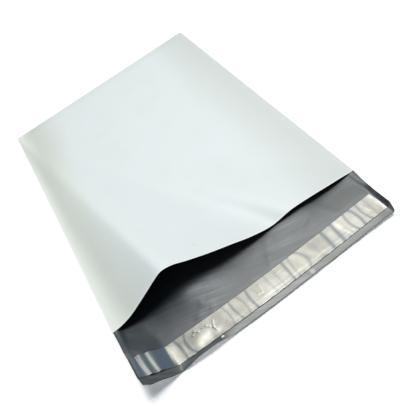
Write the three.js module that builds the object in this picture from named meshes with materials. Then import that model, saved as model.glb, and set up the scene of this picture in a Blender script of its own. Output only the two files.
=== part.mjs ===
// A poly mailer bag: an empty film envelope lying on its back panel with its mouth puffed open.
// One web of white-outside, grey-inside film is folded at the closed end and welded up both sides.
// The back panel runs on past the mouth as a lip, which carries an adhesive strip under a release liner.
// Millimetres, +Z up. The origin is on the ground under the middle of the bag, and the lip points to -Y.
import * as THREE from 'three';

// Driving dimensions of the flat bag
const BAG_WIDTH = 254;
const BAG_LENGTH = 330;
const LIP_LENGTH = 56;
const FILM = 0.06;
const SIDE_WELD = 2;
const FOLD_BAND = 1;

// The closure on the lip, measured from the mouth towards the lip's cut edge
const LINER_START = 30.8;
const LINER_WIDTH = 19.4;
const LINER_END = LINER_START + LINER_WIDTH;
const LINER_THICKNESS = 0.05;
const ADHESIVE_INSET = 2;
const ADHESIVE_THICKNESS = 0.06;
const LAYER_GAP = 0.03;

// How the bag lies: the folded end is flat on the ground, and the mouth's two corners stand a little off it
const CLOSED_END_Y = (BAG_LENGTH + LIP_LENGTH) / 2;
const MOUTH_Y = CLOSED_END_Y - BAG_LENGTH;
const RIGHT_CORNER_LIFT = 3.7;
const TRAPPED_AIR = 1.6;
const AIR_TAPER = 15;
const MOUTH_TAPER = 6;
const GROUNDED = 150;
const LIP_SKEW = 5;
const SKEW_START = 90;
const SKEW_RUN = 28;
const STANDING_START = 238;
const STANDING_HOLD = 3;

// Height of the front panel's cut edge above the ground, by distance from the left weld
const FRONT_EDGE = [
  [0, 10.3], [10, 10.9], [20, 13.9], [35, 21.3], [50, 29.2], [60, 34.6], [68, 37.9], [77, 36.6],
  [90, 30.8], [110, 22.8], [130, 15.7], [150, 8.8], [170, 4.8], [190, 8.7], [210, 7.9], [232, 5.6],
  [BAG_WIDTH, RIGHT_CORNER_LIFT],
];

// The back panel across the mouth line, between its welds: distance from the left weld, x, height
const BACK_AT_MOUTH = [
  [10, -104.6, 4.8], [22, -93.6, 1.1], [34, -82, 0.1], [52, -65, 2.4], [72, -46.5, 5], [95, -25.5, 3],
  [112, -9.5, 0.6], [130, 8, 0.1], [150, 27.5, 0.6], [175, 51, 3], [195, 70.5, 3], [215, 90, 0.6],
  [235, 109, 0.8], [246, 119.5, 2.4],
];

// The lip, by distance from the left weld: x at its cut edge, then the height at the liner's upper edge, at its
// lower edge and at the cut edge. The strip lies flat but for the left corner, which curls up from a crease, and
// the right margin, which stands.
const LIP = [
  [0, -105.5, 17.5, 23, 20.5], [8, -101.5, 14.9, 18.6, 15], [18, -94.2, 9.6, 12.5, 9.8], [25, -88.5, 4.7, 8, 5.4],
  [30, -84.2, 1, 4.1, 2.2], [32, -82.5, 0.2, 2.6, 1.2], [36, -79, 0.1, 0.8, 0.3], [52, -64, 0, 0, 4.6],
  [70, -47, 0, 0, 5.4], [80, -37.5, 0, 0.5, 2.4], [92, -26, 0, 1, 0.6], [110, -8.5, 0.1, 1.4, 0.5],
  [135, 16.5, 0.2, 1.2, 0.4], [160, 41, 0.1, 1.5, 0.8], [185, 65.5, 0, 1.2, 0.4], [212, 92, 1.1, 2, 1.2],
  [232, 111.2, 2.2, 3, 2.2], [243, 120.6, 2.8, 3, 2], [248, 122.4, 3.2, 4.6, 2.8],
  [BAG_WIDTH, 122.4, 6, 10.2, 6.2],
];

// Mesh density: columns between the welds, and rows from the fold to the mouth and from there to the liner
const COLUMNS = 38;
const POCKET_ROWS = 15;
const LIP_ROWS = 4;
const RAY_STEPS = 900;

const clamp01 = (t) => THREE.MathUtils.clamp(t, 0, 1);
const smooth = (t) => THREE.MathUtils.smoothstep(t, 0, 1);
const { lerp } = THREE.MathUtils;

// A smooth curve through rows of [distance, value, value...]: a cubic between each two rows, whose slope at
// a row is the slope between that row's two neighbours. Returns the values at a distance.
function curveThrough(rows) {
  const slopeAt = (i, k) => {
    const before = rows[Math.max(i - 1, 0)];
    const after = rows[Math.min(i + 1, rows.length - 1)];
    return (after[k] - before[k]) / (after[0] - before[0]);
  };
  return (distance) => {
    let i = 0;
    while (i < rows.length - 2 && distance > rows[i + 1][0]) i += 1;
    const [from, to] = [rows[i], rows[i + 1]];
    const span = to[0] - from[0];
    const t = clamp01((distance - from[0]) / span);
    return from.slice(1).map((value, n) => {
      const k = n + 1;
      const a = value * (1 + 2 * t) * (1 - t) ** 2 + to[k] * (3 - 2 * t) * t ** 2;
      const b = slopeAt(i, k) * t * (1 - t) ** 2 - slopeAt(i + 1, k) * (1 - t) * t ** 2;
      return a + b * span;
    });
  };
}

// The front panel is a developable cone whose point is the closed end's left corner. A ray from that corner
// keeps its length, and the angle between neighbouring rays keeps its size, so the flat film only bends.
// Each ray is known by its angle from the left weld on the flat film.
const frontEdge = curveThrough(FRONT_EDGE);
const CORNER_RAY = Math.atan2(BAG_WIDTH, BAG_LENGTH);

function rayElevation(angle) {
  const across = angle < CORNER_RAY ? BAG_LENGTH * Math.tan(angle) : BAG_WIDTH;
  const along = angle < CORNER_RAY ? BAG_LENGTH : BAG_WIDTH / Math.tan(angle);
  const height = angle < CORNER_RAY ? frontEdge(across)[0] : (RIGHT_CORNER_LIFT * along) / BAG_LENGTH;
  return Math.asin(height / Math.hypot(across, along));
}

// Heading of each ray, added up step by step from the folded end, which lies along +X
const RAY_STEP = Math.PI / 2 / RAY_STEPS;
const headings = [Math.PI / 2];
for (let i = RAY_STEPS; i > 0; i -= 1) {
  const here = rayElevation(i * RAY_STEP);
  const next = rayElevation((i - 1) * RAY_STEP);
  const turn = Math.sqrt(RAY_STEP ** 2 - (here - next) ** 2) / Math.cos((here + next) / 2);
  headings.unshift(headings[0] - turn);
}

// A point of the front panel, by distance from the left weld and from the closed end
function conePoint(across, along) {
  const reach = Math.hypot(across, along);
  const angle = Math.atan2(across, along);
  const elevation = rayElevation(angle);
  const place = Math.min(angle / RAY_STEP, RAY_STEPS - 1e-6);
  const heading = lerp(headings[Math.floor(place)], headings[Math.floor(place) + 1], place % 1);
  return new THREE.Vector3(
    -BAG_WIDTH / 2 + reach * Math.cos(elevation) * Math.sin(heading),
    CLOSED_END_Y - reach * Math.cos(elevation) * Math.cos(heading),
    reach * Math.sin(elevation),
  );
}

// How far the two panels have parted at a distance across: 0 on both side welds, and 1 past a taper
function parted(across, taper) {
  return smooth((Math.min(across, BAG_WIDTH - across) - SIDE_WELD) / taper);
}

// A little trapped air keeps the two panels apart where the bag is flat
function frontPoint(across, along) {
  const point = conePoint(across, along);
  const airLeft = 1 - along / BAG_LENGTH;
  point.z += TRAPPED_AIR * parted(across, AIR_TAPER) * smooth(along / AIR_TAPER) * airLeft;
  return point;
}

// The back panel is one with the front panel on the side welds. Between them it is flat on the ground at the
// closed end, and then low buckles grow towards the mouth.
const leftCorner = conePoint(0, BAG_LENGTH);
const rightCorner = conePoint(BAG_WIDTH, BAG_LENGTH);
const backAtMouth = curveThrough([
  [0, leftCorner.x, leftCorner.z],
  ...BACK_AT_MOUTH,
  [BAG_WIDTH, rightCorner.x, rightCorner.z],
]);

function backOfPocket(across, along) {
  const [mouthX, mouthZ] = backAtMouth(across);
  const share = along / BAG_LENGTH;
  const buckle = smooth((along - GROUNDED) / (BAG_LENGTH - GROUNDED));
  const x = lerp(across - BAG_WIDTH / 2, mouthX, share);
  const point = new THREE.Vector3(x, CLOSED_END_Y - along, mouthZ * buckle);
  const apart = parted(across, lerp(AIR_TAPER, MOUTH_TAPER, share ** 2));
  return conePoint(across, along).lerp(point, apart);
}

// Past the mouth line the back panel is the lip. It settles on to the strip, later near the right edge, which
// stands, and bends again along each edge of the strip, which stiffens it.
const lip = curveThrough(LIP);

function backPoint(across, along) {
  const past = along - BAG_LENGTH;
  if (past <= 0) return backOfPocket(across, along);
  const start = backOfPocket(across, BAG_LENGTH);
  const [edgeX, upperZ, lowerZ, edgeZ] = lip(across);
  const overStrip = clamp01((past - LINER_START) / LINER_WIDTH);
  const overMargin = clamp01((past - LINER_END) / (LIP_LENGTH - LINER_END));
  const late = lerp(1, STANDING_HOLD, smooth((across - STANDING_START) / (BAG_WIDTH - STANDING_START)));
  const strip = lerp(lerp(start.z, upperZ, smooth(past / LINER_START) ** late), lowerZ, overStrip);
  const skew = LIP_SKEW * smooth((across - SKEW_START) / (BAG_WIDTH - SKEW_START));
  const y = start.y - past + skew * smooth(past / SKEW_RUN);
  const z = Math.max(lerp(strip, edgeZ, overMargin), 0);
  return new THREE.Vector3(lerp(start.x, edgeX, past / LIP_LENGTH), y, z);
}

// The point of a film surface lifted off it along the surface's normal
const NUDGE = 0.5;
function lifted(surface, across, along, lift) {
  const a = surface(Math.max(across - NUDGE, 0), along);
  const b = surface(Math.min(across + NUDGE, BAG_WIDTH), along);
  const c = surface(across, Math.max(along - NUDGE, 0));
  const d = surface(across, along + NUDGE);
  const normal = b.sub(a).cross(c.sub(d)).normalize();
  return surface(across, along).addScaledVector(normal, lift);
}

// Collects points and faces. A face is a list of point numbers, anticlockwise as seen from outside.
class Skin {
  constructor() {
    this.points = [];
    this.triangles = [];
  }

  // A grid of point numbers: one row for each distance along, one point for each distance across
  grid(surface, across, along, lift) {
    return along.map((q) => across.map((s) => this.points.push(lifted(surface, s, q, lift)) - 1));
  }

  face(...corners) {
    for (let i = 1; i < corners.length - 1; i += 1) this.triangles.push(corners[0], corners[i], corners[i + 1]);
  }

  // Faces between two rows of points. Both sides of a film are cut along the same diagonals, so that they
  // stay parallel: a face turned over starts from the same corner.
  band(row, next, turned = false) {
    for (let i = 0; i < row.length - 1; i += 1) {
      if (turned) this.face(row[i], row[i + 1], next[i + 1], next[i]);
      else this.face(row[i], next[i], next[i + 1], row[i + 1]);
    }
  }

  sheet(rows, turned = false) {
    for (let j = 0; j < rows.length - 1; j += 1) this.band(rows[j], rows[j + 1], turned);
  }

  // Where two wedges meet, the pocket's two sides share one triangle, back to back, and it is left out
  geometry() {
    const kept = new Map();
    for (let i = 0; i < this.triangles.length; i += 3) {
      const corners = this.triangles.slice(i, i + 3);
      const key = [...corners].sort().join();
      if (!kept.delete(key)) kept.set(key, corners);
    }
    const made = new THREE.BufferGeometry().setFromPoints(this.points);
    made.setIndex([...kept.values()].flat());
    made.computeVertexNormals();
    return made;
  }
}

// Rows where the closure's layers start and stop, measured from the mouth
const CLOSURE = [
  LINER_START,
  LINER_START + ADHESIVE_INSET,
  LINER_START + LINER_WIDTH / 2,
  LINER_END - ADHESIVE_INSET,
  LINER_END,
];
const pastMouth = (distance) => BAG_LENGTH + distance;

const steps = (from, to, count) => Array.from({ length: count + 1 }, (_, i) => lerp(from, to, i / count));
const column = (rows, i) => rows.map((row) => row.at(i));

// The folded web as one solid. Between the welds its front and back films are apart and leave the pocket,
// which ends in a sharp wedge along each weld and along the fold, and opens at the mouth.
function bagFilm() {
  const skin = new Skin();
  const across = [0, ...steps(SIDE_WELD, BAG_WIDTH - SIDE_WELD, COLUMNS), BAG_WIDTH];
  const pocket = [0, ...steps(FOLD_BAND, BAG_LENGTH, POCKET_ROWS)];
  const lip = [...steps(0, LINER_START, LIP_ROWS).slice(0, -1), ...CLOSURE, LIP_LENGTH].map(pastMouth);
  const mouth = pocket.length - 1;
  const last = across.length - 1;

  const outerFront = skin.grid(frontPoint, across, pocket, 2 * FILM);
  const outerBack = skin.grid(backPoint, across, [...pocket, ...lip.slice(1)], 0);
  const lipTop = skin.grid(backPoint, across, lip, FILM);
  const innerBack = skin.grid(backPoint, across, pocket.slice(0, mouth), FILM);
  innerBack.push(lipTop[0]);
  const innerFront = skin.grid(frontPoint, across, pocket, FILM);
  innerFront.forEach((row, j) => {
    row[1] = innerBack[j][1];
    row[last - 1] = innerBack[j][last - 1];
    if (j === 1) innerFront[j] = innerBack[j];
  });
  const inside = (rows) => rows.slice(1).map((row) => row.slice(1, last));

  skin.sheet(outerFront);
  skin.sheet(outerBack, true);
  skin.sheet(inside(innerBack));
  skin.sheet(inside(innerFront), true);
  skin.sheet(lipTop);

  // The trimmed edge of each side weld, the folded end and the front panel's cut edge
  const welded = outerBack.slice(0, mouth + 1);
  skin.band(column(outerFront, 0).slice(0, -1), column(welded, 0).slice(0, -1));
  skin.band(column(welded, last).slice(0, -1), column(outerFront, last).slice(0, -1));
  skin.face(welded[mouth - 1][0], welded[mouth][0], lipTop[0][0], outerFront[mouth][0], outerFront[mouth - 1][0]);
  skin.face(
    outerFront[mouth - 1][last],
    outerFront[mouth][last],
    lipTop[0][last],
    welded[mouth][last],
    welded[mouth - 1][last],
  );
  skin.band(outerBack[0], outerFront[0]);
  skin.band(outerFront[mouth], [lipTop[0][0], ...innerFront[mouth].slice(1, last), lipTop[0][last]]);

  // The lip's two trimmed sides and its cut edge
  const lipUnder = outerBack.slice(mouth);
  skin.band(column(lipTop, 0), column(lipUnder, 0));
  skin.band(column(lipUnder, last), column(lipTop, last));
  skin.band(lipTop.at(-1), lipUnder.at(-1));
  return skin.geometry();
}

// A thin layer on the lip that follows its shape, from the left weld to the foot of the standing right margin
function lipLayer(stations, lift, thickness) {
  const skin = new Skin();
  const across = steps(SIDE_WELD, BAG_WIDTH - SIDE_WELD, COLUMNS).slice(0, -1);
  const along = stations.map(pastMouth);
  const under = skin.grid(backPoint, across, along, lift);
  const top = skin.grid(backPoint, across, along, lift + thickness);
  skin.sheet(top);
  skin.sheet(under, true);
  skin.band(under[0], top[0]);
  skin.band(top.at(-1), under.at(-1));
  skin.band(column(top, 0), column(under, 0));
  skin.band(column(under, -1), column(top, -1));
  return skin.geometry();
}

function piece(name, geometry, look) {
  const mesh = new THREE.Mesh(geometry, new THREE.MeshStandardMaterial({ metalness: 0, ...look }));
  mesh.name = name;
  return mesh;
}

const adhesiveLift = FILM + LAYER_GAP;
const linerLift = adhesiveLift + ADHESIVE_THICKNESS + LAYER_GAP;
const adhesive = CLOSURE.slice(1, -1);

const mailer = new THREE.Group();
mailer.add(piece('bag_film', bagFilm(), { color: 0xe6ecec, roughness: 0.45 }));
mailer.add(
  piece('adhesive_strip', lipLayer(adhesive, adhesiveLift, ADHESIVE_THICKNESS), {
    color: 0xcfc9b4,
    roughness: 0.3,
  }),
);
mailer.add(
  piece('release_liner', lipLayer(CLOSURE, linerLift, LINER_THICKNESS), {
    color: 0xd9d8ce,
    roughness: 0.2,
  }),
);

export default mailer;
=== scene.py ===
# %% [markdown]
# # A poly mailer bag
#
# A poly mailer is made from one wide web of thin polyethylene film, white on one side and grey on the other.
# The web is folded so that the grey is inside, a hot knife welds and cuts the two sides, and the back is left
# longer than the front as a lip. The lip carries a strip of glue under a release liner. Here the empty bag
# lies on its back with its mouth puffed open.
#
# The construction model gives the true sizes, so this lesson starts by loading it. Everything made below
# is worked out from it and lies in the same place.

# %% Load the construction model
import math

import bpy
import numpy as np
from mathutils import Matrix, Vector


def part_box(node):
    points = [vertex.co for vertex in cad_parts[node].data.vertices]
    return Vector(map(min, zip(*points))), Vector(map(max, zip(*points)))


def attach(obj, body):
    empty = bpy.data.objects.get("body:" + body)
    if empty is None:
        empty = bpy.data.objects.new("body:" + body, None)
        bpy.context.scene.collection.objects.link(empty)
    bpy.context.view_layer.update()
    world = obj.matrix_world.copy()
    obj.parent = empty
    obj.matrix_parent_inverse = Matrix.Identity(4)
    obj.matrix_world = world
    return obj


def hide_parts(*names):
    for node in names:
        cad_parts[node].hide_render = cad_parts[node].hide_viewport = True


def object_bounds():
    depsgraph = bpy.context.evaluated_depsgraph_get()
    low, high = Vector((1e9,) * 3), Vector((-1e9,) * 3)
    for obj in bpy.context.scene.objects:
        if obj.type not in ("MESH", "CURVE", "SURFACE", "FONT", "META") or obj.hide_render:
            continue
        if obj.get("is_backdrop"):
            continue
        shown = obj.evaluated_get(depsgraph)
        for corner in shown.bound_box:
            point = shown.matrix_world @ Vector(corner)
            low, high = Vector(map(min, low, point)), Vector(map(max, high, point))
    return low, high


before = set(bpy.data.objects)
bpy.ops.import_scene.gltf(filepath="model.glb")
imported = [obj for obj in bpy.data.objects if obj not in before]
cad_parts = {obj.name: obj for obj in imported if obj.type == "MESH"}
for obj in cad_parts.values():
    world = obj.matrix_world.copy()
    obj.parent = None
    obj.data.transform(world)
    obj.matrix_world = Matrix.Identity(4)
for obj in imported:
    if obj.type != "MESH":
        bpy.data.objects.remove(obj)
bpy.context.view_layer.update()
print("construction model:", sorted(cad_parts))

# %% [markdown]
# ## The flat bag
#
# A bag maker thinks of the film while it is still flat: so far across from the left weld, so far along from
# the fold at the closed end. Every shape in this lesson is a function of those two distances, called across
# and along. They are in millimetres, and a mesh is turned into metres when it is made.

# %% Sizes of the flat bag, in millimetres
MM = 0.001
film_low, film_high = (np.array(corner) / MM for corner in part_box("bag_film"))
LIP_LENGTH = 56
BAG_WIDTH = int(round(film_high[0] - film_low[0]))
BAG_LENGTH = int(round(film_high[1] - film_low[1])) - LIP_LENGTH
CLOSED_END_Y = int(round(film_high[1]))
FILM = 0.06
SIDE_WELD = 2
FOLD_BAND = 1

# The closure on the lip, measured from the mouth towards the lip's cut edge
LINER_START = 30.8
LINER_WIDTH = 19.4
LINER_END = LINER_START + LINER_WIDTH
LINER_THICKNESS = 0.05
LINER_RIGHT = 245.4
ADHESIVE_INSET = 2
ADHESIVE_THICKNESS = 0.06
LAYER_GAP = 0.03
print(f"flat web: {BAG_WIDTH} mm wide, {2 * BAG_LENGTH + LIP_LENGTH} mm long")

# %% [markdown]
# ## Curves through a few heights
#
# The film's edges rise and fall in soft waves. A wave like that could be drawn as a Blender curve, but a
# formula is easier to join to other formulas: a cubic between each two given rows, with a slope at each row
# that follows its neighbours. It works on whole arrays of distances at once.


# %% Curve helpers
def smooth(t):
    """An ease from 0 to 1: three times t squared, less twice t cubed, and held at 0 and 1 outside that."""
    t = np.clip(t, 0, 1)
    return t * t * (3 - 2 * t)


def lerp(a, b, t):
    """A share t of the way from a to b."""
    return a + (b - a) * t


def curve_through(rows):
    """A smooth curve through rows of [distance, value, value...]. Between two rows each value is a cubic,
    whose slope at a row is the slope between that row's two neighbours."""
    rows = np.array(rows, float)
    before = np.vstack([rows[:1], rows[:-1]])
    after = np.vstack([rows[1:], rows[-1:]])
    slopes = (after - before)[:, 1:] / (after - before)[:, :1]

    def at(distance):
        distance = np.asarray(distance, float)
        i = np.clip(np.searchsorted(rows[:, 0], distance) - 1, 0, len(rows) - 2)
        span = (rows[i + 1, 0] - rows[i, 0])[..., None]
        t = np.clip((distance - rows[i, 0])[..., None] / span, 0, 1)
        height = rows[i, 1:] * (1 + 2 * t) * (1 - t) ** 2 + rows[i + 1, 1:] * (3 - 2 * t) * t**2
        slope = slopes[i] * t * (1 - t) ** 2 - slopes[i + 1] * (1 - t) * t**2
        return np.moveaxis(height + slope * span, -1, 0)

    return at


print("the ease at a quarter of the way:", smooth(0.25))

# %% [markdown]
# ## The front panel
#
# Film bends easily but hardly stretches. A flat sheet that only bends is a developable surface: it can be
# rolled into a cone or a cylinder, and never into a dome. The puffed front panel is a cone whose point is the
# left corner of the closed end. Straight rays run from that corner to the mouth, where the cut edge arches.
# Each ray keeps its length and the angle to its neighbour, so the arch pulls the left weld in by itself,
# as it does on the real bag. A subdivision surface pulled up by hand would stretch the film instead.

# %% Front panel
RIGHT_CORNER_LIFT = 3.7
FRONT_EDGE = [
    [0, 10.3], [10, 10.9], [20, 13.9], [35, 21.3], [50, 29.2], [60, 34.6], [68, 37.9], [77, 36.6],
    [90, 30.8], [110, 22.8], [130, 15.7], [150, 8.8], [170, 4.8], [190, 8.7], [210, 7.9], [232, 5.6],
    [BAG_WIDTH, RIGHT_CORNER_LIFT],
]
# Air holds the panels apart, from a taper beside each weld, which is shorter at the mouth
TRAPPED_AIR = 1.6
AIR_TAPER = 15
MOUTH_TAPER = 6
# Steps between the rays, and how many of them a ridge is softened over
RAY_STEPS = 1800
RIDGE_SPREAD = 110
# The strip that settles beside the left weld
SETTLED_DROP = 1.7
SETTLED_WIDTH = 11
SETTLED_RUN = 140

front_edge = curve_through(FRONT_EDGE)
ray_angles = np.linspace(0, np.pi / 2, RAY_STEPS + 1)
ray_tan = np.tan(np.clip(ray_angles, 1e-9, np.pi / 2 - 1e-9))
to_mouth = ray_angles < math.atan2(BAG_WIDTH, BAG_LENGTH)
ray_across = np.where(to_mouth, BAG_LENGTH * ray_tan, BAG_WIDTH)
ray_along = np.where(to_mouth, BAG_LENGTH, BAG_WIDTH / ray_tan)
ray_height = np.where(to_mouth, front_edge(np.minimum(ray_across, BAG_WIDTH))[0],
                      RIGHT_CORNER_LIFT * ray_along / BAG_LENGTH)
ray_elevation = np.arcsin(ray_height / np.hypot(ray_across, ray_along))

# Headings are added up from the folded end, which lies along X. A small turn in plan is what is left of the
# angle between two rays once their change of elevation is taken out.
ray_climb = np.diff(ray_elevation)
ray_turn = np.sqrt((ray_angles[1] - ray_angles[0]) ** 2 - ray_climb**2)
ray_turn /= np.cos((ray_elevation[1:] + ray_elevation[:-1]) / 2)
ray_heading = np.pi / 2 - np.append(np.cumsum(ray_turn[::-1])[::-1], 0)
lean = math.degrees(ray_heading[0])
print(f"mouth arch: {ray_height.max():.1f} mm high, left weld leans in {lean:.1f} degrees")


# %% The cone
def softened(values, spread):
    """Values blurred by a bell curve some steps wide. Past each end they go on turned about the end value,
    so that both end values stay as they are."""
    reach = 3 * spread
    bell = np.exp(-0.5 * (np.arange(-reach, reach + 1) / spread) ** 2)
    before = 2 * values[0] - values[reach:0:-1]
    after = 2 * values[-1] - values[-2 : -reach - 2 : -1]
    return np.convolve(np.concatenate([before, values, after]), bell / bell.sum(), "valid")


soft_elevation = softened(ray_elevation, RIDGE_SPREAD)


def cone(across, along):
    """The bent front panel: a point keeps its distance from the corner, and takes its ray's heading and
    elevation. Away from the mouth the film's stiffness rounds the ridges off, so the elevation there is the
    softened one, and beside the left weld the film settles and lies flatter. Returns x, y and z stacked on
    the last axis."""
    reach = np.hypot(across, along)
    angle = np.arctan2(across, along)
    crisp = np.clip(along / BAG_LENGTH, 0, 1) ** 3
    soft = np.interp(angle, ray_angles, soft_elevation)
    elevation = lerp(soft, np.interp(angle, ray_angles, ray_elevation), crisp)
    heading = np.interp(angle, ray_angles, ray_heading)
    x = -BAG_WIDTH / 2 + reach * np.cos(elevation) * np.sin(heading)
    y = CLOSED_END_Y - reach * np.cos(elevation) * np.cos(heading)
    settled = SETTLED_DROP * across / SETTLED_WIDTH * np.exp(1 - across / SETTLED_WIDTH)
    settled = settled * smooth(along / SETTLED_RUN) * (1 - crisp)
    return np.stack([x, y, reach * np.sin(elevation) - settled], -1)


def parted(across, taper):
    """How far the two panels have parted: 0 on both side welds, and 1 past a taper in from them."""
    return smooth((np.minimum(across, BAG_WIDTH - across) - SIDE_WELD) / taper)


middle_lift = cone(np.array(BAG_WIDTH / 2), np.array(BAG_LENGTH / 2))[2]
print(f"middle of the front panel: {middle_lift:.1f} mm up")

# %% [markdown]
# ## The back panel and its lip
#
# The back panel lies on the ground. It is one with the front panel on the two welds, and low buckles run up
# it towards the mouth. Past the mouth it goes on as the lip. Glue and liner stiffen a straight band of the
# lip, so that band lies flat, and the thin margins beside it wave. The lip's left corner curls up from a
# crease, and its right margin stands.

# %% Back panel and lip
# Rows of the back panel at the mouth: across, x and height
BACK_AT_MOUTH = [
    [10, -104.6, 4.8], [22, -93.6, 1.1], [34, -82, 0.1], [52, -65, 2.4], [72, -46.5, 5], [95, -25.5, 3],
    [112, -9.5, 0.6], [130, 8, 0.1], [150, 27.5, 0.6], [175, 51, 3], [195, 70.5, 3], [215, 90, 0.6],
    [235, 109, 0.8], [246, 119.5, 2.4],
]
# Rows of the lip: across, x at the cut edge, then the height at the liner's upper edge, its lower edge and
# the cut edge
LIP = [
    [0, -105.5, 17.5, 23, 20.5], [8, -101.5, 14.9, 18.6, 15], [18, -94.2, 9.6, 12.5, 9.8],
    [25, -88.5, 4.7, 8, 5.4], [30, -84.2, 1, 4.1, 2.2], [32, -82.5, 0.2, 2.6, 1.2],
    [36, -79, 0.1, 0.8, 0.3], [52, -64, 0, 0, 4.6], [70, -47, 0, 0, 5.4], [80, -37.5, 0, 0.5, 2.4],
    [92, -26, 0, 1, 0.6], [110, -8.5, 0.1, 1.4, 0.5], [135, 16.5, 0.2, 1.2, 0.4],
    [160, 41, 0.1, 1.5, 0.8], [185, 65.5, 0, 1.2, 0.4], [212, 92, 1.1, 2, 1.2], [232, 111.2, 2.2, 3, 2.2],
    [243, 120.6, 2.8, 3, 2], [248, 122.4, 3.2, 4.6, 2.8], [BAG_WIDTH, 122.4, 6, 10.2, 6.2],
]
# Buckles begin this far from the fold
GROUNDED = 150
# The lip's right half is pulled a little towards the mouth
LIP_SKEW = 5
SKEW_START = 90
SKEW_RUN = 28
# The right margin stands up, and keeps the mouth's height for longer
STANDING_START = 238
STANDING_HOLD = 3

corners = cone(np.array([0.0, BAG_WIDTH]), np.array([BAG_LENGTH, BAG_LENGTH]))
left_corner, right_corner = corners[:, [0, 2]]
back_at_mouth = curve_through([[0, *left_corner], *BACK_AT_MOUTH, [BAG_WIDTH, *right_corner]])
lip_rows = curve_through(LIP)


def back_of_pocket(across, along):
    """The back panel up to the mouth: the front panel's own shape on the welds, and between them a sheet on
    the ground, whose buckles and sideways shift grow towards the mouth."""
    mouth_x, mouth_z = back_at_mouth(across)
    share = along / BAG_LENGTH
    buckle = smooth((along - GROUNDED) / (BAG_LENGTH - GROUNDED))
    x = lerp(across - BAG_WIDTH / 2, mouth_x, share)
    lying = np.stack([x, CLOSED_END_Y - along, mouth_z * buckle], -1)
    apart = parted(across, lerp(AIR_TAPER, MOUTH_TAPER, share**2))[..., None]
    return lerp(cone(across, along), lying, apart)


def lip(across, along):
    """The back panel past the mouth: it settles smoothly on to the glued band, crosses it straight, and
    crosses the margin straight to the cut edge."""
    past = along - BAG_LENGTH
    start = back_of_pocket(across, np.full_like(across, BAG_LENGTH))
    edge_x, upper_z, lower_z, edge_z = lip_rows(across)
    over_strip = np.clip((past - LINER_START) / LINER_WIDTH, 0, 1)
    over_margin = np.clip((past - LINER_END) / (LIP_LENGTH - LINER_END), 0, 1)
    late = lerp(1, STANDING_HOLD, smooth((across - STANDING_START) / (BAG_WIDTH - STANDING_START)))
    settling = smooth(past / LINER_START) ** late
    strip = lerp(lerp(start[..., 2], upper_z, settling), lower_z, over_strip)
    skew = LIP_SKEW * smooth((across - SKEW_START) / (BAG_WIDTH - SKEW_START))
    y = start[..., 1] - past + skew * smooth(past / SKEW_RUN)
    x = lerp(start[..., 0], edge_x, past / LIP_LENGTH)
    return np.stack([x, y, lerp(strip, edge_z, over_margin)], -1)


def back_sheet(across, along):
    """The back panel and the lip as one surface."""
    past_mouth = (along > BAG_LENGTH)[..., None]
    return np.where(past_mouth, lip(across, along), back_of_pocket(across, np.minimum(along, BAG_LENGTH)))


print("lip rows:", len(LIP), "buckle rows:", len(BACK_AT_MOUTH))

# %% [markdown]
# ## Small shapes in the film
#
# Real film is never quite even. The welds shrink as they cool and leave fine puckers beside them, handling
# leaves soft creases, and the whole sheet has a faint unevenness that only shows in a low light. Each of
# these is a small height that lifts the film along its own normal. A displacement texture could do the same,
# but as plain functions they can differ from panel to panel and fade out on the welds.

# %% Puckers, unevenness and creases
PUCKER_LENGTH = 11
PUCKER_HEIGHT = 0.14
PUCKER_REACH = 5
PUCKER_WANDER = 19
PUCKER_SWELL = 27
RIGHT_WELD_SHIFT = 2.1
BEAD_HEIGHT = 0.16
BEAD_WIDTH = 0.45
UNEVEN_HEIGHT = 0.45
EDGE_CURL = 0.35
EDGE_CURL_RUN = 3
# The film is taut from just before the liner to just past it, and smooth just past the mouth
TAUT_BEFORE = 4
TAUT_AFTER = 2
CREASE_RUN = 6

# Soft creases in the lip: across and distance past the mouth at each end, then width and height
LIP_CREASES = [
    [69, 27, 78, 19, 3.4, 0.3], [78, 19, 90, 10, 3.6, 0.28], [80, 30, 85, 24, 2.2, 0.2],
    [141, 30, 146, 20, 3, 0.26], [146, 20, 153, 7, 3.4, 0.24], [163, 9, 170, 12, 0.9, 0.12],
    [170, 12, 184, 15, 0.8, 0.12], [184, 15, 193, 14, 0.8, 0.1], [181, 20, 191, 14.5, 0.9, 0.1],
    [191, 14.5, 199, 10, 0.9, 0.1], [76.8, 52, 76.4, 58, 1.1, 0.4], [160.5, 52, 165, 57, 1.2, 0.3],
    [2, 19, 16, 30, 1.2, 0.2], [38, 25, 46, 26, 1.4, 0.1], [116, 8, 124, 26, 4, 0.2],
    [208, 12, 214, 29, 4, 0.18],
]


def waves(across, along, seed, count=7, shortest=34, longest=110):
    """A sum of sine waves in seeded directions, each as strong as it is long, scaled to lie in -1 to 1."""
    rng = np.random.default_rng(seed)
    total = np.zeros_like(across)
    strength = 0
    for length in rng.uniform(shortest, longest, count):
        heading, phase = rng.uniform(0, 2 * np.pi, 2)
        turns = (across * np.cos(heading) + along * np.sin(heading)) / length
        total += length * np.sin(2 * np.pi * turns + phase)
        strength += length
    return total / strength


def puckers(across, along):
    """Waves that run along a weld, with a beat that wanders, fading out in from the weld, and on the weld's
    own cut edge a bead of melted film."""
    edge = np.minimum(across, BAG_WIDTH - across)
    side = np.where(across > BAG_WIDTH / 2, RIGHT_WELD_SHIFT, 0)
    wander = 1.9 * np.sin(along / PUCKER_WANDER + side)
    beat = np.sin(2 * np.pi * along / PUCKER_LENGTH + wander + side)
    swell = 0.65 + 0.35 * np.sin(along / PUCKER_SWELL + 2 * side)
    bead = BEAD_HEIGHT * np.exp(-((edge / BEAD_WIDTH) ** 2)) * (along < BAG_LENGTH)
    return PUCKER_HEIGHT * beat * swell * np.exp(-edge / PUCKER_REACH) + bead


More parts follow.
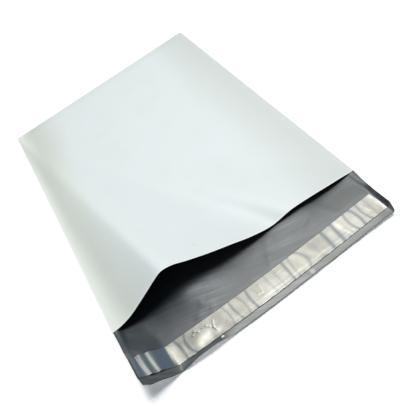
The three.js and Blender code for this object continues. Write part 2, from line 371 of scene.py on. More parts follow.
def ridges(across, along, lines):
    """Soft ridges: for each line from one point to another, its height times a bell curve of the distance
    from the line."""
    total = np.zeros_like(across)
    for s0, q0, s1, q1, width, height in lines:
        run_s, run_q = s1 - s0, q1 - q0
        t = np.clip(((across - s0) * run_s + (along - q0) * run_q) / (run_s**2 + run_q**2), 0, 1)
        away = np.hypot(across - s0 - t * run_s, along - q0 - t * run_q)
        total += height * np.exp(-((away / width) ** 2))
    return total


print("creases in the lip:", len(LIP_CREASES))


# %% Finished film surfaces
def normals_of(surface, across, along, nudge=0.5):
    """Unit normals that point up: the cross product of the surface's two central differences."""
    a = surface(np.maximum(across - nudge, 0), along)
    b = surface(np.minimum(across + nudge, BAG_WIDTH), along)
    c = surface(across, np.maximum(along - nudge, 0))
    d = surface(across, along + nudge)
    normal = np.cross(b - a, c - d)
    return normal / np.linalg.norm(normal, axis=-1, keepdims=True)


def grounded(points):
    """The same points, with none below the ground."""
    points[..., 2] = np.maximum(points[..., 2], 0)
    return points


def front_film(across, along):
    """The finished front panel: the cone, the air trapped under it, its unevenness and puckers, and the
    slight curl of its cut edge."""
    points = cone(across, along)
    apart = parted(across, AIR_TAPER)
    from_fold = smooth(along / AIR_TAPER)
    air = TRAPPED_AIR * apart * from_fold * (1 - along / BAG_LENGTH)
    uneven = UNEVEN_HEIGHT * waves(across, along, seed=11) * apart * from_fold
    curl = EDGE_CURL * smooth((along - BAG_LENGTH + EDGE_CURL_RUN) / EDGE_CURL_RUN) ** 2 * apart
    lift = uneven + puckers(across, along) * from_fold + curl
    points[..., 2] += air
    return grounded(points + normals_of(cone, across, along) * lift[..., None])


def back_film(across, along):
    """The finished back panel and lip: the sheet on the ground, with its own unevenness, and creases where
    the lip is handled. Nothing is added under the liner, which keeps the film taut."""
    past = along - BAG_LENGTH
    points = back_sheet(across, along)
    still_held = 1 - smooth((past - LINER_END) / TAUT_AFTER)
    free = 1 - smooth((past - LINER_START + TAUT_BEFORE) / TAUT_BEFORE) * still_held
    apart = parted(across, AIR_TAPER)
    uneven = UNEVEN_HEIGHT * (0.5 + 0.5 * waves(across, along, seed=23)) * apart * smooth(along / AIR_TAPER)
    creases = ridges(across, past, LIP_CREASES) * smooth(past / CREASE_RUN)
    lift = (uneven + creases + puckers(across, along) * smooth(along / AIR_TAPER)) * free
    return grounded(points + normals_of(back_sheet, across, along) * lift[..., None])


def lifted(surface, across, along, lift):
    """A film surface moved off itself along its normal, for the other side of the film."""
    return surface(across, along) + normals_of(surface, across, along) * np.asarray(lift)[..., None]


edge_across = np.linspace(0, BAG_WIDTH, 5)
edge_heights = front_film(edge_across, np.full(5, float(BAG_LENGTH)))[:, 2]
print("mouth edge of the front panel, in mm:", edge_heights.round(1).tolist())

# %% [markdown]
# ## From grids to a mesh
#
# A surface worked out on a grid becomes a mesh by numbering its points row by row: each face joins four
# neighbours. The numbers of a face go anticlockwise as seen from outside, so the two sides of a film are
# numbered in opposite orders. Rims are flat shaded, and everything else is smooth.


# %% Mesh helpers
def squares(numbers, facing_up=True):
    """Four-cornered faces between the rows and columns of a grid of point numbers."""
    a, b, c, d = numbers[:-1, :-1], numbers[1:, :-1], numbers[1:, 1:], numbers[:-1, 1:]
    corners = [a, b, c, d] if facing_up else [a, d, c, b]
    return np.stack(corners, -1).reshape(-1, 4)


def strip_between(row, next_row):
    """Four-cornered faces between two rows of point numbers."""
    return squares(np.stack([row, next_row]))


def make_piece(name, points, sides, rims, looks, flat_places):
    """A mesh object from points in millimetres. sides is a list of (faces, material number) shaded smooth,
    rims the same but flat. flat_places holds each point's across and along, kept as a UV map in metres."""
    groups = [(faces, look, True) for faces, look in sides] + [(faces, look, False) for faces, look in rims]
    faces = [list(face) for group, _, _ in groups for face in group.tolist()]
    mesh = bpy.data.meshes.new(name)
    mesh.from_pydata((points * MM).tolist(), [], faces)
    counts = [len(group) for group, _, _ in groups]
    mesh.polygons.foreach_set("material_index", np.repeat([look for _, look, _ in groups], counts))
    mesh.polygons.foreach_set("use_smooth", np.repeat([soft for _, _, soft in groups], counts))
    for look in looks:
        mesh.materials.append(look)
    corner_points = np.zeros(len(mesh.loops), np.int32)
    mesh.loops.foreach_get("vertex_index", corner_points)
    layout = mesh.uv_layers.new(name="flat_film")
    layout.data.foreach_set("uv", (flat_places[corner_points] * MM).astype(np.float32).ravel())
    mesh.update()
    piece = bpy.data.objects.new(name, mesh)
    bpy.context.scene.collection.objects.link(piece)
    return piece


def without_loose_points(points, places, groups):
    """The points that some face uses, renumbered."""
    used = np.unique(np.concatenate([faces.ravel() for faces in groups]))
    fresh = np.zeros(len(points), int)
    fresh[used] = np.arange(len(used))
    return points[used], places[used], [fresh[faces] for faces in groups]


print("faces in a grid of 3 by 4 points:", len(squares(np.arange(12).reshape(3, 4))))

# %% [markdown]
# ## Shader arithmetic
#
# A finish is a small network of nodes. Written node by node it is long and hard to read, so this class lets
# a material's sums be written as plain Python: a Value wraps one output, and adding or multiplying Values
# adds Math nodes. A Finish holds a material and adds any other node by its type, its settings and its values.


# %% Values
class Value:
    """One output inside a finish. Arithmetic on it adds Math nodes, with numbers on either side."""

    def __init__(self, finish, socket):
        self.finish = finish
        self.socket = socket

    def sum_of(self, operation, *values):
        return self.finish.node("ShaderNodeMath", {"operation": operation}, dict(enumerate(values)))

    def __add__(self, other):
        return self.sum_of("ADD", self, other)

    def __radd__(self, other):
        return self.sum_of("ADD", other, self)

    def __sub__(self, other):
        return self.sum_of("SUBTRACT", self, other)

    def __rsub__(self, other):
        return self.sum_of("SUBTRACT", other, self)

    def __mul__(self, other):
        return self.sum_of("MULTIPLY", self, other)

    def __rmul__(self, other):
        return self.sum_of("MULTIPLY", other, self)


# %% Finishes
class Finish:
    """A material under construction: one Principled shader, whose fixed values are set by name."""

    def __init__(self, name, **fixed):
        self.material = bpy.data.materials.new(name)
        self.material.use_nodes = True
        self.tree = self.material.node_tree
        self.shader = self.tree.nodes["Principled BSDF"]
        for socket, value in fixed.items():
            self.shader.inputs[socket.replace("_", " ")].default_value = value

    def node(self, kind, settings=None, values=None, output=0):
        """Adds a node: its settings first, then its inputs, by name or number, as numbers or Values."""
        made = self.tree.nodes.new(kind)
        for name, setting in (settings or {}).items():
            if name == "stops":
                self.set_stops(made.color_ramp, setting)
            else:
                setattr(made, name, setting)
        for key, value in (values or {}).items():
            self.feed(made.inputs[key], value)
        return Value(self, made.outputs[output])

    def set_stops(self, ramp, stops):
        while len(ramp.elements) < len(stops):
            ramp.elements.new(1)
        for element, (place, shade) in zip(ramp.elements, stops):
            element.position = place
            element.color = (shade, shade, shade, 1)

    def feed(self, socket, value):
        if isinstance(value, Value):
            self.tree.links.new(value.socket, socket)
        else:
            socket.default_value = value

    def set(self, **values):
        for name, value in values.items():
            self.feed(self.shader.inputs[name.replace("_", " ")], value)

    def mix(self, share, first, second):
        """A colour a share of the way from the first to the second."""
        return self.node("ShaderNodeMix", {"data_type": "RGBA"}, {0: share, 6: first, 7: second}, output=2)

    def flat_place(self, turn=0.0, drawn_out=1.0):
        """Where a point lies on the flat film, in metres. A texture read there is drawn out along its own
        first axis and then turned by some degrees."""
        place = self.node("ShaderNodeUVMap", {"uv_map": "flat_film"})
        turned = {"Vector": place, "Rotation": (0, 0, math.radians(turn)), "Scale": (drawn_out, 1, 1)}
        return self.node("ShaderNodeMapping", {"vector_type": "TEXTURE"}, turned)

    def apart(self, place, axis):
        """One axis of a place."""
        return self.node("ShaderNodeSeparateXYZ", {}, {"Vector": place}, output=axis)

    def from_spot(self, place, across, along):
        """The distance of a place from a spot on the flat film, given in millimetres."""
        ends = {0: place, 1: (across * MM, along * MM, 0)}
        return self.node("ShaderNodeVectorMath", {"operation": "DISTANCE"}, ends, output="Value")

    def ease(self, distance, start, end):
        """A smooth step from 0 to 1 between two distances in millimetres."""
        limits = {"Value": distance, "From Min": start * MM, "From Max": end * MM}
        return self.node("ShaderNodeMapRange", {"interpolation_type": "SMOOTHSTEP"}, limits)

    def noise(self, place, scale, detail):
        """A soft random pattern from 0 to 1, with so many blots to the metre."""
        values = {"Vector": place, "Scale": scale, "Detail": detail}
        return self.node("ShaderNodeTexNoise", {"noise_dimensions": "3D"}, values)

    def ramp(self, value, *stops):
        """A value read through straight lines between stops, each a place and a shade."""
        return self.node("ShaderNodeValToRGB", {"stops": stops}, {"Fac": value})

    def bump(self, height, distance, strength):
        """A height that tilts the light, its full range being the distance in metres."""
        values = {"Height": height, "Distance": distance, "Strength": strength}
        return self.node("ShaderNodeBump", {}, values)


# %% [markdown]
# ## Film finishes
#
# Both sides of the film are the same polyethylene, loaded with white pigment outside and with dark pigment
# inside. The white side is satin: fine grain, a hint of the rollers' lines, and a cool white. The grey side
# has more gloss, and it shows faint parallel lines that the die left in it, a little askew to the bag.

# %% White side of the film
WHITE_GRAIN = 900
WHITE_CLOUDS = 26
ROLLER_LINES = 400
# Where one tone gives way to the next, in millimetres across or along the flat film
LEFT_SHADE_CHANGES = (60, 180)
LEFT_SHADE_ENDS = (18, 62)
RIGHT_SHADE_STARTS = (190, 246)
WELD_LIGHT_ENDS = (3, 22)
RIM_HIGHLIGHT_STARTS = (328.4, BAG_LENGTH)
WHITE_LOW, WHITE_HIGH = (0.635, 0.69, 0.695, 1), (0.665, 0.735, 0.785, 1)
# Painted shade on the web's left slope, darker towards the fold
LEFT_SHADE_AT_FOLD, LEFT_SHADE_AT_MOUTH = (0.55, 0.595, 0.57, 1), (0.64, 0.695, 0.667, 1)
# Painted shade towards the web's right side
RIGHT_SHADE = (0.57, 0.62, 0.63, 1)
# Painted light: a paler strip beside the left weld
WELD_LIGHT = (0.7, 0.75, 0.72, 1)
# Painted highlight along the cut rim at the mouth
RIM_HIGHLIGHT = (0.86, 0.9, 0.89, 1)
SPECK = (104, 314)
SPECK_EDGE = (0.3, 0.7)
SPECK_TONE = (0.3, 0.31, 0.29, 1)


def white_film():
    """A cool satin white: clouds a few centimetres wide shift the colour a little. Painted shade darkens the
    web's left slope, the more towards the fold, and its right side; painted light makes the strip by the left
    weld paler, and a painted highlight runs along the cut rim at the mouth. Fine grain and drawn lines give
    it its bump. There is one speck of dirt near the mouth."""
    finish = Finish("white_film", IOR=1.5)
    place = finish.flat_place()
    clouds = finish.noise(place, WHITE_CLOUDS, detail=3)
    grain = finish.noise(place, WHITE_GRAIN, detail=2)
    drawn = finish.noise(finish.flat_place(turn=90, drawn_out=30), ROLLER_LINES, detail=2)
    across, along = finish.apart(place, "X"), finish.apart(place, "Y")
    # Painted shade: the web's left slope is darker, the more towards the fold
    left = finish.mix(finish.ease(along, *LEFT_SHADE_CHANGES), LEFT_SHADE_AT_FOLD, LEFT_SHADE_AT_MOUTH)
    body = finish.mix(finish.ease(across, *LEFT_SHADE_ENDS), left, finish.mix(clouds, WHITE_LOW, WHITE_HIGH))
    # Painted shade towards the web's right side
    body = finish.mix(finish.ease(across, *RIGHT_SHADE_STARTS), body, RIGHT_SHADE)
    # Painted light: a paler strip beside the left weld
    body = finish.mix(finish.ease(across, *WELD_LIGHT_ENDS), WELD_LIGHT, body)
    # Painted highlight along the cut rim at the mouth
    body = finish.mix(finish.ease(along, *RIM_HIGHLIGHT_STARTS), body, RIM_HIGHLIGHT)
    clear = finish.ease(finish.from_spot(place, *SPECK), *SPECK_EDGE)
    finish.set(Base_Color=finish.mix(clear, SPECK_TONE, body))
    finish.set(Roughness=0.38 + 0.1 * grain)
    finish.set(Normal=finish.bump(grain + 0.6 * drawn, 0.00004, 0.35))
    return finish.material


# %% Grey side of the film
STREAK_TURN = 15
STREAK_FINENESS = 620
GREY_CLOUDS = 30
GREY_GRAIN = 1400
GREY_LOW, GREY_HIGH = (0.05, 0.058, 0.064, 1), (0.095, 0.106, 0.113, 1)
# Painted shade: the grey side is darker towards its left weld
GREY_LEFT_SHADE = (0.036, 0.047, 0.058, 1)
GREY_LEFT_SHADE_ENDS = (10, 110)
# Painted sheen: the margin below the liner is paler
MARGIN_SHEEN = (0.2, 0.208, 0.2, 1)
MARGIN_START = BAG_LENGTH + LINER_END
MARGIN_SHEEN_ENDS = (74, 82)
# Painted glints on two sharp bends in the margin: across, distance past the mouth, reach and strength
MARGIN_GLINTS = [[76.6, 52.2, 2, 1], [162.8, 53.2, 3.2, 0.42]]
GLINT_TONE = (0.75, 0.77, 0.76, 1)
# The bend beside the curled corner is duller than the rest
CORNER_BEND = 31
BEND_WIDTH = 5
BEND_DULLNESS = 0.2


def grey_film():
    """A dark grey gloss: lines drawn out along one direction, a slow change from light to dark, and a fine
    orange-peel bump. Painted shade darkens the web towards its left weld, a painted sheen makes the margin
    below the liner paler, and two painted glints sit on sharp bends in the margin."""
    finish = Finish("grey_film", IOR=1.62, Specular_Tint=(0.95, 0.98, 1.0, 1))
    place = finish.flat_place()
    streaks = finish.noise(finish.flat_place(turn=STREAK_TURN, drawn_out=60), STREAK_FINENESS, detail=3)
    clouds = finish.noise(place, GREY_CLOUDS, detail=3)
    grain = finish.noise(place, GREY_GRAIN, detail=2)
    lines = finish.ramp(streaks, (0.4, 0.0), (0.6, 1.0))
    across, along = finish.apart(place, "X"), finish.apart(place, "Y")
    below_liner = finish.ease(along, MARGIN_START - 1, MARGIN_START + 1)
    body = finish.mix(0.5 * clouds + 0.5 * lines, GREY_LOW, GREY_HIGH)
    # Painted shade towards the left weld, left out below the liner
    body = finish.mix(finish.ease(across, *GREY_LEFT_SHADE_ENDS) + below_liner, GREY_LEFT_SHADE, body)
    # Painted sheen: the margin below the liner is paler
    body = finish.mix(below_liner * finish.ease(across, *MARGIN_SHEEN_ENDS), body, MARGIN_SHEEN)
    # Painted glints on two sharp bends in the margin
    for middle, past, reach, strength in MARGIN_GLINTS:
        spot = 1 - finish.ease(finish.from_spot(place, middle, BAG_LENGTH + past), 0.25 * reach, reach)
        body = finish.mix(strength * spot, body, GLINT_TONE)
    bend = finish.ease(across, CORNER_BEND - BEND_WIDTH, CORNER_BEND)
    bend = bend - finish.ease(across, CORNER_BEND, CORNER_BEND + BEND_WIDTH)
    finish.set(Base_Color=body)
    finish.set(Roughness=0.4 + 0.08 * lines + 0.06 * clouds + BEND_DULLNESS * bend)
    finish.set(Normal=finish.bump(0.8 * streaks + 0.2 * grain, 0.0003, 0.5))
    return finish.material


WHITE, GREY = white_film(), grey_film()
print("finishes:", WHITE.name, GREY.name)

# %% [markdown]
# ## The bag film
#
# The folded web is one closed skin: its outside wraps round the folded end, and its inside is the pocket's
# lining and the top of the lip. Four grids share their points along the welds and along the fold, so the
# skin has no holes. The pocket ends in a sharp wedge along each weld. Solidify could thicken a single sheet,
# but it can't weld two panels together.

# %% Grid lines across and along
# The steps are finer at the welds, at the fold, at the mouth and on the glued band
weld_steps = np.array([0, 0.25, 0.5, 0.9, 1.4])
across_steps = np.concatenate([weld_steps, np.linspace(SIDE_WELD, BAG_WIDTH - SIDE_WELD, 157),
                               BAG_WIDTH - weld_steps[::-1]])
fold_steps = np.array([0, 0.3, 0.6])
pocket_steps = np.concatenate([fold_steps, [FOLD_BAND], np.linspace(2.5, 15, 9),
                               np.linspace(18, BAG_LENGTH - 6, 72),
                               np.linspace(BAG_LENGTH - 5, BAG_LENGTH, 9)])
lip_steps = BAG_LENGTH + np.concatenate([np.linspace(0, LINER_START, 24)[1:],
                                         np.linspace(LINER_START, LINER_END, 15)[1:],
                                         np.linspace(LINER_END, LIP_LENGTH, 7)[1:]])
# The numbers of the column at the weld's inner edge, the row at the fold's and the row at the mouth
WELD = len(weld_steps)
FOLD = len(fold_steps)
MOUTH = len(pocket_steps) - 1
print(f"{len(across_steps)} columns, {len(pocket_steps)} pocket rows, {len(lip_steps)} lip rows")

# %% Cut the skin
RAGGED = 0.35


def bag_skin():
    """The whole film as one skin. Front and back are each worked out twice, a film's thickness apart."""
    pocket_q, pocket_s = np.meshgrid(pocket_steps, across_steps, indexing="ij")
    whole_q, whole_s = np.meshgrid(np.append(pocket_steps, lip_steps), across_steps, indexing="ij")
    outer_front = lifted(front_film, pocket_s, pocket_q, np.full_like(pocket_s, 2 * FILM))
    inner_front = lifted(front_film, pocket_s, pocket_q, np.full_like(pocket_s, FILM))
    outer_back = lifted(back_film, whole_s, whole_q, np.zeros_like(whole_s))
    inner_back = lifted(back_film, whole_s, whole_q, np.full_like(whole_s, FILM))

    # The knife that cuts the lip leaves its edge a little ragged
    ragged = RAGGED * waves(across_steps, across_steps * 0, seed=5, count=12, shortest=3, longest=22)
    outer_back[-1, :, 1] += ragged
    inner_back[-1, :, 1] += ragged

    grids = [outer_front, inner_front, outer_back, inner_back]
    points = np.concatenate([grid.reshape(-1, 3) for grid in grids])
    places = [(pocket_s, pocket_q), (pocket_s, pocket_q), (whole_s, whole_q), (whole_s, whole_q)]
    places = np.concatenate([np.stack(pair, -1).reshape(-1, 2) for pair in places])
    starts = np.cumsum([0] + [grid[..., 0].size for grid in grids])
    front, lining, back, inside = [start + np.arange(grid[..., 0].size).reshape(grid.shape[:2])
                                   for start, grid in zip(starts, grids)]

    # The lining meets the inside of the back panel along both welds and along the fold
    lining[:, WELD] = inside[: MOUTH + 1, WELD]
    lining[:, -1 - WELD] = inside[: MOUTH + 1, -1 - WELD]
    lining[FOLD] = inside[FOLD]
    pocket = (slice(FOLD, MOUTH + 1), slice(WELD, -WELD))
    under_rim = inside[MOUTH].copy()
    under_rim[WELD:-WELD] = lining[MOUTH, WELD:-WELD]

    white_sides = [squares(front), squares(back, facing_up=False)]
    grey_sides = [squares(inside[pocket]), squares(lining[pocket], facing_up=False), squares(inside[MOUTH:])]
    white_rims = [
        strip_between(back[0], front[0]),
        strip_between(front[MOUTH], under_rim),
        strip_between(front[:MOUTH, 0], back[:MOUTH, 0]),
        strip_between(back[:MOUTH, -1], front[:MOUTH, -1]),
    ]
    grey_rims = [
        strip_between(inside[MOUTH:, 0], back[MOUTH:, 0]),
        strip_between(back[MOUTH:, -1], inside[MOUTH:, -1]),
        strip_between(inside[-1], back[-1]),
    ]
    # Where the side of the weld meets the mouth, three films end in one five-cornered face
    rim = MOUTH - 1
    left_end = [front[rim, 0], back[rim, 0], back[MOUTH, 0], inside[MOUTH, 0], front[MOUTH, 0]]
    right_end = [front[rim, -1], front[MOUTH, -1], inside[MOUTH, -1], back[MOUTH, -1], back[rim, -1]]
    groups = [*white_sides, *grey_sides, *white_rims, *grey_rims, np.array([left_end, right_end])]
    looks = [0, 0, 1, 1, 1, 0, 0, 0, 0, 1, 1, 1, 0]
    points, places, groups = without_loose_points(points, places, groups)
    soft = len(white_sides) + len(grey_sides)
    paired = list(zip(groups, looks))
    return make_piece("mailer_film", points, paired[:soft], paired[soft:], [WHITE, GREY], places)


bag = bag_skin()
print(f"{bag.name}: {len(bag.data.polygons)} faces")

# %% [markdown]
# ## Glue and release liner
#
# The liner is a strip of slick silicone-coated film that covers the glue until the bag is used. It is
# stretched a little less than the bag film, so it wrinkles across its width, often in pairs. Where the lip's
# corner curls up, it stands off in two long pleats. Both strips are grids over the same lip, so they follow
# its shape exactly, and the wrinkles are heights added on top.

# %% Wrinkles of the liner
# Each wrinkle: across at the strip's upper edge, middle and lower edge, then half width, rise and how far
# it loses its shine and takes a painted bluish shade
WRINKLES = [
    [40, 43.4, 44, 1.2, 0.06, 0.75], [50.5, 48.6, 53, 1.2, 0.04, 0.75], [88.3, 90.9, 90, 1.0, 0.02, 0.4],
    [96, 96.4, 98.6, 1.2, 0.03, 0.7], [103.5, 106, 105.5, 1.1, 0.02, 0.45],
    [112.8, 111.9, 113, 1.3, 0.03, 0.8], [131, 131.4, 131.6, 1.1, 0.01, 0.35],
    [139, 139.6, 140, 1.0, -0.01, 0.3], [149.5, 149, 148.3, 1.4, -0.05, 0.8],
    [155.6, 154, 153.5, 1.2, -0.02, 0.45], [163, 167.6, 164.5, 1.8, -0.02, 0.6],
    [177, 178.5, 178, 2.4, -0.01, 0.3], [191, 190.2, 188.8, 1.9, -0.03, 0.9],
    [201.5, 200.2, 199, 1.9, -0.02, 0.9], [215, 212.6, 214, 1.3, -0.01, 0.7],
    [220.5, 221.8, 220, 1.5, -0.02, 0.85], [228.5, 226.6, 228, 1.3, -0.01, 0.7],
    [236, 235, 234, 1.8, -0.01, 0.4],
]
# Each pleat of the curled corner: across at the strip's upper edge, middle and lower edge, then half width
PLEATS = [[9.2, 10.1, 12.2, 2.7], [17.2, 18.2, 20, 2.5]]
PLEAT_SLOPE = 0.5
PLEAT_REACH = 2.5
# Short marks: across and distance over the strip at each end, then half width and height
MARKS = [
    [56.5, 6, 59, 4, 1, 0.1], [59, 4, 62, 6, 0.9, 0.1], [66, 5, 70, 5.5, 0.9, 0.1],
    [70, 5.5, 72.5, 8, 0.9, 0.1], [77, 5, 75, 10, 0.9, 0.1], [75, 10, 76, 14, 0.8, 0.08],
    [118.5, 3, 119.5, 10, 0.9, 0.06], [119.5, 10, 122.5, 10.5, 0.8, 0.04],
    [122.5, 10.5, 124, 4, 0.9, 0.06], [140, 5, 146, 4.6, 0.8, 0.04], [206.5, 12, 208, 19, 1.3, 0.07],
    [231, 4, 232.4, 11, 0.9, 0.06], [229.5, 16, 232.5, 17, 0.8, 0.05],
]
# A long fine fold that runs the length of the strip
FOLD_LINE = 15
FOLD_HEIGHT = 0.03
FOLD_WIDTH = 0.8
# The curled corner loses shine and takes a painted bluish shade, as far as this from the left weld
CURL_END = 33
CURL_DULL_SHADE = 0.8
# Blisters: across, distance over the strip, half width, half length and height
BLISTERS = [[60.5, 8, 7, 7, 0.16], [69, 9.5, 6, 6.5, 0.14], [77.5, 13, 3, 3.5, 0.1], [206, 6, 2.6, 5, 0.14]]
# Pale places, partly where air has crept under the liner and partly painted highlight: the glare over the
# blisters, the shine of the long fold, the streaks on the two pleats and a bright spot at the right end. The
# same columns, with a strength in place of the height
MILKY_AND_GLINTS = [
    [64, 13, 6.5, 4, 1], [58.5, 16, 3, 3, 0.6], [76.5, 15, 3, 2.5, 0.7], [37, 8, 3.5, 8, 0.35],
    [45.5, 13, 1.6, 6, 0.3], [205, 6, 2.4, 5, 0.5], [124, 15, 9, 1.2, 0.22], [156, 15, 7, 1.2, 0.3],
    [181, 15, 7, 1.2, 0.3], [94, 15.5, 8, 1.4, 0.2], [243, 3, 2, 3, 0.3],
    [10.5, 9.7, 2.6, 14, 0.22], [18.4, 9.7, 2.6, 14, 0.22],
]
PUFF = 0.12
# The cut lower edge waves a little in and out, and stands off the film over the last share of the width
SCALLOP = 0.3
SCALLOP_LENGTH = 4.3
SCALLOP_WANDER = 11
LIFTED_EDGE = 0.03
LIFTED_SHARE = 0.12
print(f"{len(WRINKLES)} wrinkles, {len(PLEATS)} pleats, {len(BLISTERS)} blisters")


def wrinkle_line(over, upper, middle, lower):
    """Where a bowed wrinkle runs: the parabola through its three given points, over the strip's width."""
    from_ends = upper * (1 - over) * (1 - 2 * over) + lower * over * (2 * over - 1)
    return from_ends + middle * 4 * over * (1 - over)


def bells(across, past, rows):
    """The sum of an oval bell curve at each row's place."""
    total = np.zeros_like(across)
    for middle, down, half_width, half_length, height in rows:
        away = ((across - middle) / half_width) ** 2 + ((past - LINER_START - down) / half_length) ** 2
        total += height * np.exp(-away)
    return total


def dulled(across, past):
    """How far the liner has lost its shine and takes a painted bluish shade, from 0 to 1: a bell curve across
    each wrinkle, and part of the way all over the curled corner."""
    over = (past - LINER_START) / LINER_WIDTH
    total = CURL_DULL_SHADE * smooth((CURL_END - across) / 2)
    for upper, middle, lower, width, _, dullness_and_shade in WRINKLES:
        away = across - wrinkle_line(over, upper, middle, lower)
        total = np.maximum(total, dullness_and_shade * np.exp(-((away / width) ** 2)))
    return total


def wrinkles(across, over):
    """Heights of the liner's wrinkles. Each is a step from one level to another, a hyperbolic tangent of the
    distance from its line. Each pleat is a terrace in the curled corner: the distance from its line times a
    bell curve takes the slope out of the strip just there, and a wider bell holds it off the lip."""
    total = np.zeros_like(across)
    for upper, middle, lower, width, rise, _ in WRINKLES:
        away = across - wrinkle_line(over, upper, middle, lower)
        total += rise * (1 + np.tanh(away / width))
    for upper, middle, lower, width in PLEATS:
        away = across - wrinkle_line(over, upper, middle, lower)
        stand_off = width / 2 * np.exp(-((away / (PLEAT_REACH * width)) ** 2))
        total += PLEAT_SLOPE * (away * np.exp(-((away / width) ** 2)) + stand_off)
    return total


# %% Lay a strip on the lip
def strip_on_lip(name, start, end, columns, rows, lift, thickness, height_of, looks):
    """A thin closed slab over the lip between two distances past the mouth. height_of(across, past) is added
    to its top and bottom alike. Each point keeps how far it has lost its shine and takes a painted shade, and
    how pale it is from trapped air and painted highlight, for the finish."""
    across = np.linspace(SIDE_WELD, LINER_RIGHT, columns)
    over, across = np.meshgrid(np.linspace(0, 1, rows), across, indexing="ij")
    wander = np.sin(across / SCALLOP_WANDER)
    scallop = SCALLOP * (np.abs(np.sin(across / SCALLOP_LENGTH + wander)) - 0.5)
    lower_edge = end + scallop * (height_of is not None)
    past = lerp(start, lower_edge, over)
    raised = height_of(across, past) if height_of else np.zeros_like(across)
    under = lifted(back_film, across, BAG_LENGTH + past, raised + lift)
    top = lifted(back_film, across, BAG_LENGTH + past, raised + lift + thickness)
    points = np.concatenate([under.reshape(-1, 3), top.reshape(-1, 3)])
    places = np.stack([across, BAG_LENGTH + past], -1).reshape(-1, 2)
    below = np.arange(across.size).reshape(across.shape)
    above = below + across.size
    sides = [(squares(above), 0), (squares(below, facing_up=False), 0)]
    rims = [strip_between(below[0], above[0]), strip_between(above[-1], below[-1]),
            strip_between(above[:, 0], below[:, 0]), strip_between(below[:, -1], above[:, -1])]
    rims = [(rim, 0) for rim in rims]
    piece = make_piece(name, points, sides, rims, looks, np.concatenate([places, places]))
    # Each point keeps its lost shine with painted shade, and its paleness from trapped air with painted
    # highlight
    for label, amount in (("dulled", dulled(across, past)), ("milky", bells(across, past, MILKY_AND_GLINTS))):
        layer = piece.data.attributes.new(label, "FLOAT", "POINT")
        layer.data.foreach_set("value", np.tile(amount.ravel(), 2).astype(np.float32))
    return piece


def liner_height(across, past):
    """Wrinkles, short marks and a faint puffing between them, and a lower edge that stands off the film."""
    over = (past - LINER_START) / LINER_WIDTH
    puff = PUFF * (0.5 + 0.5 * waves(across, past, seed=31, count=9, shortest=7, longest=19))
    flutter = 0.5 + 0.5 * waves(across, past, seed=3, shortest=9, longest=25)
    edge = LIFTED_EDGE * smooth((over - 1 + LIFTED_SHARE) / LIFTED_SHARE) * flutter
    fold = FOLD_HEIGHT * np.exp(-(((past - LINER_START - FOLD_LINE) / FOLD_WIDTH) ** 2))
    marks = ridges(across, past - LINER_START, MARKS)
    return wrinkles(across, over) + marks + bells(across, past, BLISTERS) + puff + edge + fold


# %% Liner and glue finishes
PATCHES = 130
BROAD_PATCHES = 45
COAT_LOST = 0.85
GLUE_BLOBS = 400
LINER_LOW, LINER_HIGH = (0.1, 0.108, 0.095, 1), (0.15, 0.152, 0.122, 1)
# Painted bluish shade for the wrinkles and the curled corner
DULL_SHADE_TONE = (0.08, 0.118, 0.178, 1)
# Pale tone for trapped air under the liner and for painted highlights
MILKY_GLINT_TONE = (0.75, 0.76, 0.66, 1)
GLUE_LOW, GLUE_HIGH = (0.3, 0.28, 0.2, 1), (0.45, 0.42, 0.32, 1)


def liner_finish():
    """Slick silicone-coated film over glue: a dark body under a very glossy coat, so it is pearly where it
    mirrors a softbox and a cool grey elsewhere. Wrinkles and the curled corner lose shine and take a painted
    bluish shade. Trapped air makes some places pale, and painted highlights make others pale."""
    finish = Finish("release_liner", IOR=1.5, Coat_IOR=2.7, Coat_Roughness=0.25)
    place = finish.flat_place()
    patches = finish.noise(place, PATCHES, detail=2)
    broad = finish.noise(place, BROAD_PATCHES, detail=1)
    dull_and_shade = finish.node("ShaderNodeAttribute", {"attribute_name": "dulled"}, output="Fac")
    shine = finish.ramp(0.5 * patches + 0.5 * broad, (0.35, 0.48), (0.6, 0.78))
    body = finish.mix(patches, LINER_LOW, LINER_HIGH)
    milky = finish.node("ShaderNodeAttribute", {"attribute_name": "milky"}, output="Fac")
    # Painted bluish shade where the liner has lost its shine
    body = finish.mix(dull_and_shade, body, DULL_SHADE_TONE)
    # Pale where air is trapped, and painted highlights
    finish.set(Base_Color=finish.mix(milky, body, MILKY_GLINT_TONE))
    finish.set(Roughness=0.3 + 0.1 * patches)
    finish.set(Coat_Weight=shine * (1 - COAT_LOST * dull_and_shade))
    finish.set(Normal=finish.bump(patches, 0.0002, 0.4))
    return finish.material


def glue_finish():
    """Clear tacky glue, yellowed a little, over grey film."""
    finish = Finish("glue", IOR=1.48, Coat_Weight=0.5)
    blobs = finish.noise(finish.flat_place(), GLUE_BLOBS, detail=3)
    finish.set(Base_Color=finish.mix(blobs, GLUE_LOW, GLUE_HIGH))
    finish.set(Roughness=0.15 + 0.2 * blobs)
    finish.set(Normal=finish.bump(blobs, 0.0001, 0.5))
    return finish.material


GLUE_LIFT = FILM + LAYER_GAP
LINER_LIFT = GLUE_LIFT + ADHESIVE_THICKNESS + LAYER_GAP
glue = strip_on_lip("glue_strip", LINER_START + ADHESIVE_INSET, LINER_END - ADHESIVE_INSET,
                    columns=240, rows=14, lift=GLUE_LIFT, thickness=ADHESIVE_THICKNESS,
                    height_of=None, looks=[glue_finish()])
liner = strip_on_lip("liner_strip", LINER_START, LINER_END,
                     columns=640, rows=58, lift=LINER_LIFT, thickness=LINER_THICKNESS,
                     height_of=liner_height, looks=[liner_finish()])
print(f"{glue.name}: {len(glue.data.polygons)} faces, {liner.name}: {len(liner.data.polygons)} faces")

# %% [markdown]
# ## Tie the pieces to the construction model
# Each new piece moves with the model's one body and stands for its plain solid, which is hidden. Film is a
# sheet, so its flat cut size is declared: the web before it was
# folded, and the two strips as they come off the roll.

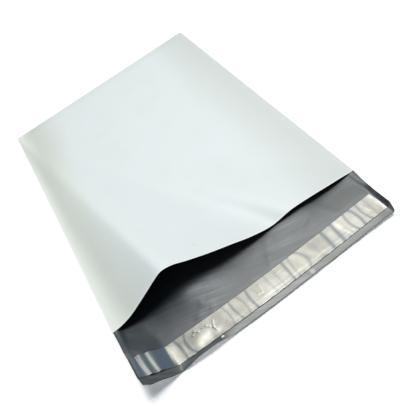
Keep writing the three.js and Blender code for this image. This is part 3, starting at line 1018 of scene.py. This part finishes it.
for piece, node, slot in ((bag, "bag_film", "film"), (glue, "adhesive_strip", "adhesive"),
                          (liner, "release_liner", "liner")):
    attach(piece, "root")
    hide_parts(node)

# %% [markdown]
# ## Floor and light
#
# A glossy film is lit by what it reflects. A small softbox overhead lights the white panel and draws the
# short dark shadow in the mouth. A wide, dimmer one hangs behind the closed end, so that its reflection lies
# along the lip, where it makes the liner pearly. Whatever tilts away from it, such as the curled corner,
# stays dark, and painted shade in the liner's finish deepens the curled corner further. A weak sky fills the
# shadows, and the floor glows a little, as a light table does, which keeps it clean and pale.

# %% Floor
FLOOR_SIZE = 14.0
FLOOR_DROP = 0.0004


def pale_floor():
    """A square of matt pale floor just under the bag."""
    half = FLOOR_SIZE / 2
    mesh = bpy.data.meshes.new("floor")
    plan = [(-half, -half), (half, -half), (half, half), (-half, half)]
    mesh.from_pydata([(x, y, -FLOOR_DROP) for x, y in plan], [], [(0, 1, 2, 3)])
    finish = Finish("floor", Roughness=0.9, Specular_IOR_Level=0.1, Base_Color=(0.97, 0.97, 0.98, 1),
                    Emission_Color=(0.85, 0.9, 1.0, 1), Emission_Strength=0.12)
    mesh.materials.append(finish.material)
    floor = bpy.data.objects.new("floor", mesh)
    bpy.context.scene.collection.objects.link(floor)
    floor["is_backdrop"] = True
    return floor


floor = pale_floor()
print(f"{floor.name}: {FLOOR_SIZE:.0f} m square")


# %% Softboxes and sky
AIM = Vector((0, -0.08, 0))


def softbox(name, toward, distance, width, height, radiance, tint=(1, 1, 1)):
    """A rectangle of light that looks at the lip from a direction. Its power is pi times its radiance times
    its area."""
    light = bpy.data.lights.new(name, "AREA")
    light.shape = "RECTANGLE"
    light.size = width
    light.size_y = height
    light.energy = math.pi * radiance * width * height
    light.color = tint
    lamp = bpy.data.objects.new(name, light)
    away = Vector(toward).normalized()
    lamp.location = AIM + away * distance
    lamp.rotation_euler = away.to_track_quat("Z", "Y").to_euler()
    bpy.context.scene.collection.objects.link(lamp)
    return lamp


softbox("overhead_softbox", (0.14, 0.12, 1.0), distance=1.25, width=0.46, height=0.4, radiance=21)
softbox("back_softbox", (0.2, 0.57, 0.8), distance=2.5, width=2.1, height=1.4, radiance=2.9,
        tint=(1.0, 0.97, 0.84))

sky = bpy.data.worlds.new("sky")
sky.use_nodes = True
sky.node_tree.nodes["Background"].inputs["Color"].default_value = (0.85, 0.93, 1.0, 1)
sky.node_tree.nodes["Background"].inputs["Strength"].default_value = 0.1
bpy.context.scene.world = sky
bpy.context.scene.view_settings.view_transform = "Standard"
print("lights:", sorted(light.name for light in bpy.data.lights), "and a weak sky")

# %% [markdown]
# ## Camera
#
# The camera stands in front of the mouth and looks down over the bag, rolled well to one side, so that
# the bag lies across the view from corner to corner.

# %% Camera
CAMERA_PLACE = Vector((-22.4, -325.4, 311.8)) * MM
LOOK_DOWN = math.radians(51.42)
LOOK_RIGHT = math.radians(5.64)
ROLL = math.radians(-30.18)
LENS = 37.56

forward = Vector((math.sin(LOOK_RIGHT) * math.cos(LOOK_DOWN), math.cos(LOOK_RIGHT) * math.cos(LOOK_DOWN),
                  -math.sin(LOOK_DOWN)))
level = forward.cross(Vector((0, 0, 1))).normalized()
right = level * math.cos(ROLL) + level.cross(forward) * math.sin(ROLL)
up = right.cross(forward)
camera_data = bpy.data.cameras.new("camera")
camera_data.lens = LENS
camera_data.sensor_width = 36
camera_data.shift_x = 0.0192
camera_data.shift_y = 0.012
camera_data.clip_start = 0.01
camera = bpy.data.objects.new("camera", camera_data)
camera.matrix_world = Matrix.Translation(CAMERA_PLACE) @ Matrix((right, up, -forward)).transposed().to_4x4()
bpy.context.scene.collection.objects.link(camera)
bpy.context.scene.camera = camera
print(f"camera: {(CAMERA_PLACE - AIM).length:.2f} m from the lip")

# %% [markdown]
# ## Measure
# The size of the visual model is printed in millimetres, to set beside the construction model's.
# The last call checks that every piece is tied to the model and writes the table of pieces.

# %% Measure
seen_low, seen_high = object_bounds()
seen_size = [round((high - low) / MM, 1) for low, high in zip(seen_low, seen_high)]
print("size of the visual model in mm:", seen_size)
